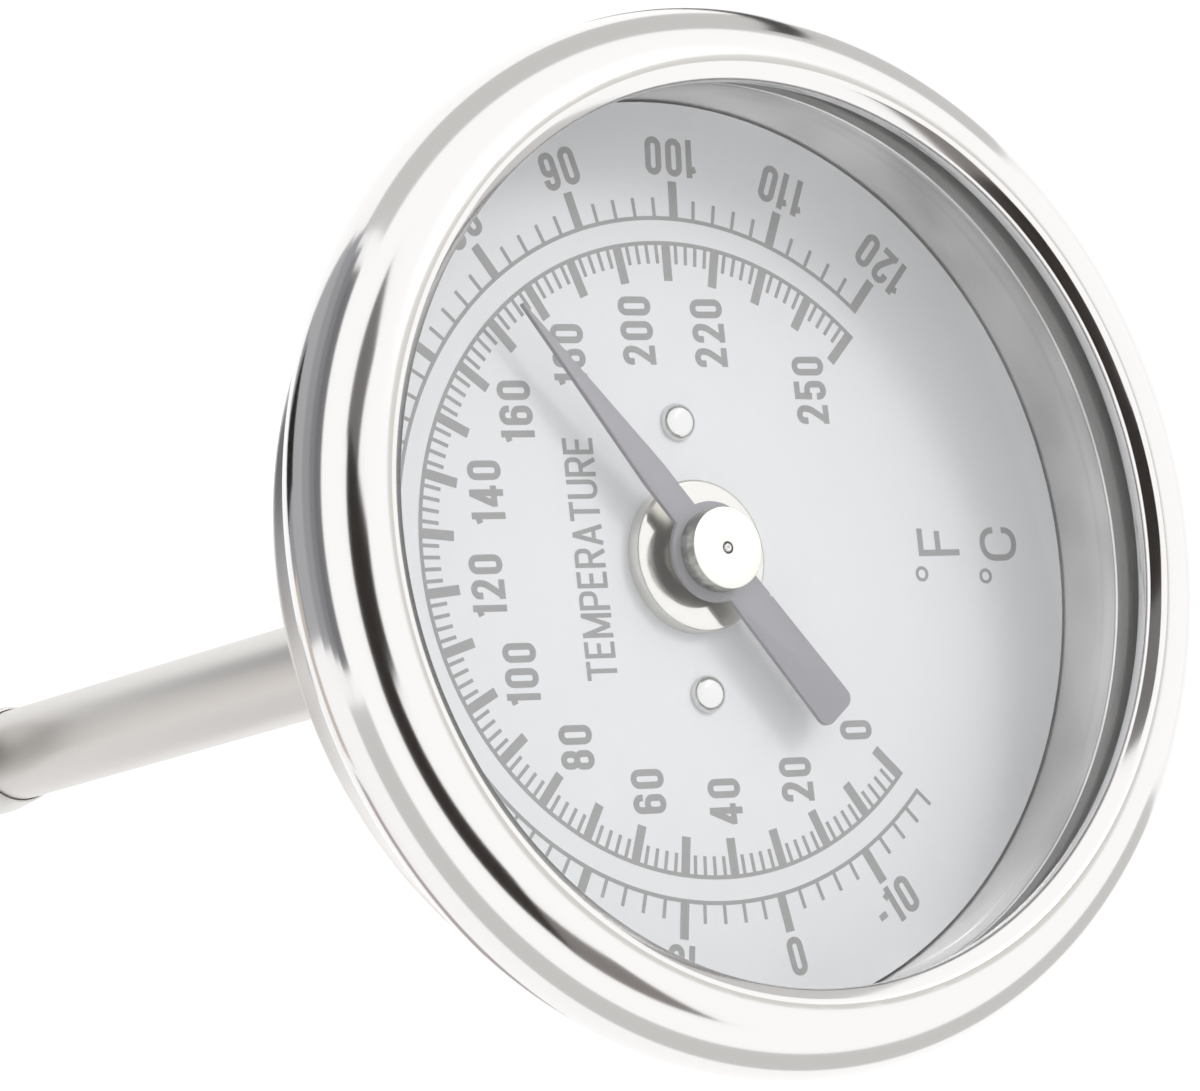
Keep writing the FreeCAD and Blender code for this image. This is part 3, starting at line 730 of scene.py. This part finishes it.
class THERMO_OT_numerals(Operator):
    """Print the numerals of both scales"""
    bl_idname = "thermo.numerals"
    bl_label = "Numerals"

    def execute(self, context):
        settings = context.scene.thermometer.dial
        pen = Pen(settings.digit_stroke, settings.ink_height)
        size = (settings.digit_width, settings.digit_height)
        lift = Matrix.Translation((0, 0, ink_middle(settings)))
        mesh = bmesh.new()
        for reading in (*range(0, 221, 20), settings.full_reading):
            angle = reading_angle(settings, reading)
            half = text_width(str(reading), size[0], settings.digit_gap) / 2
            inset = math.hypot(half * math.sin(angle), size[1] / 2 * math.cos(angle))
            radius = settings.inner_ring - inset
            where = Matrix.Translation((radius * math.sin(angle), radius * math.cos(angle), 0))
            write(mesh, pen, str(reading), size, settings.digit_gap, lift @ where)
        printed(mesh, "numerals_fahrenheit")
        mesh = bmesh.new()
        for reading in range(-10, 121, 10):
            angle = reading_angle(settings, to_fahrenheit(reading))
            upright = math.pi if abs(angle) > math.pi / 2 else 0.0
            where = Matrix.Rotation(-angle, 4, "Z")
            where = where @ Matrix.Translation((0, settings.outer_ring, 0))
            where = where @ Matrix.Rotation(upright, 4, "Z")
            write(mesh, pen, str(reading), size, settings.digit_gap, lift @ where)
        printed(mesh, "numerals_celsius")
        pen.away()
        return {"FINISHED"}


class THERMO_OT_words(Operator):
    """Print the plain word above the pointer and the two unit marks below it"""
    bl_idname = "thermo.words"
    bl_label = "Word and units"

    def execute(self, context):
        settings = context.scene.thermometer.dial
        height = ink_middle(settings)
        pen = Pen(0.27 * MM, settings.ink_height)
        mesh = bmesh.new()
        write(mesh, pen, "TEMPERATURE", (1.14 * MM, 2.15 * MM), 0.19 * MM,
              Matrix.Translation((0.1 * MM, 7.35 * MM, height)))
        printed(mesh, "word_temperature")
        pen.away()
        letters = Pen(0.38 * MM, settings.ink_height)
        rings = Pen(0.2 * MM, settings.ink_height)
        marks = (("unit_fahrenheit", "F", (1.75, 3.1), (0.71, -18.5), (-1.26, -17.0)),
                 ("unit_celsius", "C", (2.1, 2.8), (0.5, -23.1), (-1.48, -21.86)))
        for name, letter, size, letter_at, ring_at in marks:
            mesh = bmesh.new()
            write(mesh, letters, letter, (size[0] * MM, size[1] * MM), 0,
                  Matrix.Translation((letter_at[0] * MM, letter_at[1] * MM, height)))
            write(mesh, rings, "o", (0.94 * MM, 0.94 * MM), 0,
                  Matrix.Translation((ring_at[0] * MM, ring_at[1] * MM, height)))
            printed(mesh, name)
        letters.away()
        rings.away()
        return {"FINISHED"}


class THERMO_OT_dial_screws(Operator):
    """Turn the two domed screws that hold the dial"""
    bl_idname = "thermo.dial_screws"
    bl_label = "Dial screws"

    def execute(self, context):
        head = 1.15 * MM
        shank = 0.7 * MM
        spacing = SCREWS_HIGH.x - head
        for name, side in (("dial_screw_left", -1), ("dial_screw_right", 1)):
            corners = [(0, SCREWS_LOW.z, 0), (shank, SCREWS_LOW.z, 0.1 * MM),
                       (shank, DIAL.high, 0), (head, DIAL.high, 0.05 * MM),
                       (head, SCREWS_HIGH.z, 0.64 * MM), (0, SCREWS_HIGH.z, 0)]
            mesh = turned(corners, SCREW_STEPS, closed=False)
            bmesh.ops.translate(mesh, vec=(side * spacing, 0, 0), verts=mesh.verts)
            finished(mesh, name, bpy.data.materials["screw_steel"], "root",
                     ["dial_screws"])
        return {"FINISHED"}


class THERMO_OT_boss(Operator):
    """Turn the polished boss under the pointer"""
    bl_idname = "thermo.boss"
    bl_label = "Boss"

    def execute(self, context):
        bore = SHAFT.radius + RUNNING_FIT
        shank = STEM.radius - context.scene.thermometer.stem.wall - PRESS_FIT
        corners = [(bore, BOSS.low, 0.1 * MM), (shank, BOSS.low, 0.15 * MM),
                   (shank, DIAL.high, 0), (BOSS.radius, DIAL.high, 0.04 * MM),
                   (BOSS.radius, BOSS.high, 0.25 * MM), (bore, BOSS.high, 0.1 * MM)]
        finished(turned(corners, BOSS_STEPS), "boss", bpy.data.materials["boss_steel"], "root",
                 ["boss_bush"])
        return {"FINISHED"}


class THERMO_OT_pointer(Operator):
    """Make the needle with eased edges, the turned hub and the shaft with its centre mark"""
    bl_idname = "thermo.pointer"
    bl_label = "Pointer"

    def execute(self, context):
        sizes = context.scene.thermometer.pointer
        needle = finished(eased_copy("pointer_needle", sizes.edge), "needle",
                          bpy.data.materials["pointer_lacquer"], "pointer",
                          ["pointer_needle"])
        needle.data.materials.append(bpy.data.materials["spring_steel"])
        for face in needle.data.polygons:
            face.material_index = int(face.normal.z < -0.9)
        foot = 1.8 * MM
        spigot = 0.375 * MM
        rod = SHAFT.radius
        corners = [(rod, HUB.low, 0.05 * MM), (foot, HUB.low, 0.1 * MM), (foot, NEEDLE.high, 0),
                   (HUB.radius, NEEDLE.high, 0.06 * MM), (HUB.radius, HUB.high, 0.09 * MM),
                   (spigot, HUB.high, 0.05 * MM), (spigot, NEEDLE.high, 0),
                   (rod, NEEDLE.high, 0)]
        hub = finished(turned(corners), "hub", bpy.data.materials["hub_metal"], "pointer",
                       ["pointer_hub"])
        hub.data.materials.append(bpy.data.materials["hub_rim"])
        for face in hub.data.polygons:
            face.material_index = int(abs(face.normal.z) < 0.5 and face.center.z > NEEDLE.high)
        corners = [(0, SHAFT.low, 0), (rod, SHAFT.low, 0.1 * MM), (rod, NEEDLE.high, 0),
                   (spigot, NEEDLE.high, 0), (spigot, SHAFT.high - sizes.groove, 0),
                   (spigot * 0.62, SHAFT.high, 0.05 * MM), (spigot * 0.3, SHAFT.high, 0.03 * MM),
                   (0, SHAFT.high - sizes.dimple, 0)]
        finished(turned(corners, closed=False), "shaft", bpy.data.materials["satin_steel"],
                 "pointer", ["pointer_shaft"])
        return {"FINISHED"}


class THERMO_OT_stem(Operator):
    """Draw the stem tube, its rounded tip and the hexagon collar"""
    bl_idname = "thermo.stem"
    bl_label = "Stem"

    def execute(self, context):
        sizes = context.scene.thermometer.stem
        satin = bpy.data.materials["satin_steel"]
        bore = STEM.radius - sizes.wall
        corners = [(bore, STEM.low, 0), (STEM.radius, STEM.low, 0),
                   (STEM.radius, STEM.high, 0), (bore, STEM.high, 0)]
        finished(turned(corners), "stem", satin, "root", ["stem_tube"])
        spigot = bore - PRESS_FIT
        corners = [(0, TIP.low, 0), (STEM.radius, TIP.low, sizes.tip_round),
                   (STEM.radius, STEM.low, 0), (spigot, STEM.low, 0),
                   (spigot, TIP.high, 0.1 * MM), (0, TIP.high, 0)]
        finished(turned(corners, closed=False), "tip", satin, "root", ["tip_plug"])
        finished(eased_copy("hex_collar", 0.15 * MM), "collar", satin, "root",
                 ["hex_collar"])
        return {"FINISHED"}


class THERMO_OT_clip(Operator):
    """Bend the tank clip: the split sleeve and the sprung leaf"""
    bl_idname = "thermo.clip"
    bl_label = "Tank clip"

    def execute(self, context):
        steel = bpy.data.materials["spring_steel"]
        finished(eased_copy("clip_sleeve", 0.06 * MM), "sleeve", steel, "clip",
                 ["clip_sleeve"])
        finished(eased_copy("clip_leaf", 0.12 * MM), "leaf", steel, "clip",
                 ["clip_leaf"])
        return {"FINISHED"}


class THERMO_OT_works(Operator):
    """Finish the bimetal helix; the other pieces inside keep the frame's materials"""
    bl_idname = "thermo.works"
    bl_label = "Works"

    def execute(self, context):
        dress("bimetal_coil", bpy.data.materials["bimetal_strip"])
        return {"FINISHED"}


KEY_SIZE = 0.22
KEY_DISTANCE = 0.9
KEY_TOWARDS = Vector((0.415, -0.415, 0.81)).normalized()
FLOOR_SIZE = 4.0
FLOOR_DROP = 0.5 * MM
SCREEN_ROWS = 12
SCREEN_STEPS = 24
SCREENS = (
    ("flag", (0.036, 0.029, 0.026), 1.20, (-86, -18), (44, 65)),
    ("flag_top", (0.036, 0.030, 0.027), 1.19, (-22, 33), (45, 75)),
    ("flag_wing", (0.20, 0.19, 0.19), 1.21, (30, 66), (42, 62)),
    ("flag_low", (0.26, 0.24, 0.23), 1.21, (-118, -84), (42, 60)),
    ("grey_patch", (0.80, 0.785, 0.75), 1.10, (150, 184), (46, 63)),
    ("horizon", (0.20, 0.20, 0.21), 0.162, (-14, 50), (-4, 6.5)),
    ("low_near", (0.36, 0.365, 0.385), 0.162, (-8, 60), (-66, -50)),
    ("low_middle", (0.47, 0.475, 0.49), 0.162, (-8, 60), (-50, -25)),
    ("low_far", (0.37, 0.375, 0.395), 0.162, (-10, 58), (-25, -12)),
    ("low_edge", (0.27, 0.275, 0.29), 0.162, (-12, 54), (-12, -4)),
    ("low_dark", (0.02, 0.018, 0.018), 0.158, (22, 50), (-66, -46)),
    ("low_warm", (0.66, 0.59, 0.53), 0.160, (-34, 8), (-66, -54)),
    ("low_rose", (0.50, 0.45, 0.44), 0.160, (-110, -40), (-66, -55)),
    ("side_grey", (0.70, 0.69, 0.68), 0.42, (60, 150), (-18, 16)),
    ("far_grey", (0.70, 0.69, 0.68), 0.42, (190, 340), (-18, 12)),
    ("post", (0.05, 0.05, 0.05), 0.19, (125, 129), (-42, 10)),
)


class THERMO_OT_stage(Operator):
    """Set the pale floor, the white surround, the softbox, the dark flag and the camera"""
    bl_idname = "thermo.stage"
    bl_label = "Stage"

    def execute(self, context):
        settings = context.scene.thermometer.stage
        middle = Vector((0, 0, DIAL.high))
        self.surround(context.scene, settings)
        self.floor()
        self.key_light(settings, middle)
        self.screens(middle)
        self.camera(context.scene, settings, middle)
        return {"FINISHED"}

    def surround(self, scene, settings):
        world = bpy.data.worlds.new("studio_white")
        world.use_nodes = True
        background = world.node_tree.nodes["Background"]
        background.inputs["Color"].default_value = (1, 1, 1, 1)
        background.inputs["Strength"].default_value = settings.sky
        scene.world = world
        scene.view_settings.view_transform = "Standard"

    def floor(self):
        mesh = bmesh.new()
        bmesh.ops.create_grid(mesh, x_segments=1, y_segments=1, size=FLOOR_SIZE,
                              matrix=Matrix.Translation((0, 0, -FLOOR_DROP)))
        data = bpy.data.meshes.new("floor")
        mesh.to_mesh(data)
        mesh.free()
        finish = Finish("floor_paper", (0.93, 0.93, 0.93), 0.0, 0.9)
        data.materials.append(finish.material)
        floor = bpy.data.objects.new("floor", data)
        bpy.context.scene.collection.objects.link(floor)

    def key_light(self, settings, middle):
        lamp = bpy.data.lights.new("key_softbox", "AREA")
        lamp.shape = "DISK"
        lamp.size = KEY_SIZE
        lamp.energy = settings.key
        softbox = bpy.data.objects.new("key_softbox", lamp)
        softbox.location = middle + KEY_TOWARDS * KEY_DISTANCE
        softbox.rotation_euler = KEY_TOWARDS.to_track_quat("Z", "Y").to_euler()
        bpy.context.scene.collection.objects.link(softbox)

    def screens(self, middle):
        """Cards that only glossy surfaces see: the dark flag and the greys round the stand.

        Each is (name, colour, radius, bearings, heights); bearings are clockwise from +Y, and
        the angles are seen from the middle of the dial."""
        for name, colour, radius, bearings, heights in SCREENS:
            low, high = (math.radians(height) for height in heights)
            first, last = (math.radians(bearing) for bearing in bearings)
            mesh = bmesh.new()
            rises = [low + (high - low) * row / SCREEN_ROWS for row in range(SCREEN_ROWS + 1)]
            edge = [mesh.verts.new((0, radius * math.cos(rise), radius * math.sin(rise)))
                    for rise in rises]
            runs = [mesh.edges.new(pair) for pair in zip(edge, edge[1:])]
            bmesh.ops.rotate(mesh, cent=(0, 0, 0), matrix=Matrix.Rotation(-first, 3, "Z"),
                             verts=edge)
            bmesh.ops.spin(mesh, geom=edge + runs, cent=(0, 0, 0), axis=(0, 0, 1),
                           angle=first - last, steps=SCREEN_STEPS, use_merge=False,
                           use_duplicate=False)
            bmesh.ops.translate(mesh, vec=middle, verts=mesh.verts)
            data = bpy.data.meshes.new(name)
            mesh.to_mesh(data)
            mesh.free()
            finish = Finish(name, (0, 0, 0), 0.0, 1.0)
            finish.shader.inputs["Specular IOR Level"].default_value = 0.0
            finish.shader.inputs["Emission Color"].default_value = (*colour, 1)
            finish.shader.inputs["Emission Strength"].default_value = 1.0
            data.materials.append(finish.material)
            card = bpy.data.objects.new(name, data)
            card.visible_camera = False
            card.visible_diffuse = False
            card.visible_transmission = False
            card.visible_shadow = False
            bpy.context.scene.collection.objects.link(card)

    def camera(self, scene, settings, middle):
        bearing, rise = settings.azimuth, settings.elevation
        back = Vector((math.sin(bearing) * math.cos(rise), -math.cos(bearing) * math.cos(rise),
                       math.sin(rise)))
        level_right = Vector((0, 0, 1)).cross(back).normalized()
        level_up = back.cross(level_right)
        right = level_right * math.cos(settings.roll) + level_up * math.sin(settings.roll)
        up = back.cross(right)
        lens = bpy.data.cameras.new("camera")
        lens.sensor_fit = "HORIZONTAL"
        lens.sensor_width = 36
        lens.lens = settings.lens
        camera = bpy.data.objects.new("camera", lens)
        aim = middle + right * settings.shift_right + up * settings.shift_up
        turn_to = Matrix((right, up, back)).transposed().to_4x4()
        camera.matrix_world = Matrix.Translation(aim + back * settings.distance) @ turn_to
        scene.collection.objects.link(camera)
        scene.camera = camera


BUILD_ORDER = (
    THERMO_OT_finishes, THERMO_OT_bezel, THERMO_OT_case, THERMO_OT_window, THERMO_OT_scales,
    THERMO_OT_numerals, THERMO_OT_words, THERMO_OT_dial_screws, THERMO_OT_boss,
    THERMO_OT_pointer, THERMO_OT_stem, THERMO_OT_clip, THERMO_OT_works, THERMO_OT_stage,
)


class THERMO_PT_panel(Panel):
    """Lists the steps that build the thermometer, and its settings"""
    bl_idname = "THERMO_PT_panel"
    bl_label = "Dial thermometer"
    bl_space_type = "VIEW_3D"
    bl_region_type = "UI"
    bl_category = "Thermometer"

    def draw(self, context):
        layout = self.layout
        for operator in BUILD_ORDER:
            layout.operator(operator.bl_idname)
        settings = context.scene.thermometer
        for group in ("bezel", "case", "dial", "pointer", "stem", "stage"):
            box = layout.box()
            box.label(text=group.capitalize())
            values = getattr(settings, group)
            for name in values.__annotations__:
                box.prop(values, name)


CLASSES = (
    BezelSettings, CaseSettings, PrintSettings, PointerSettings, StemSettings, StageSettings,
    ThermometerSettings, *BUILD_ORDER, THERMO_PT_panel,
)


def register():
    for item in CLASSES:
        bpy.utils.register_class(item)
    bpy.types.Scene.thermometer = PointerProperty(type=ThermometerSettings)


def unregister():
    del bpy.types.Scene.thermometer
    for item in reversed(CLASSES):
        bpy.utils.unregister_class(item)


def main():
    register()
    for operator in BUILD_ORDER:
        group, name = operator.bl_idname.split(".")
        getattr(getattr(bpy.ops, group), name)()


if __name__ == "__main__":
    main()
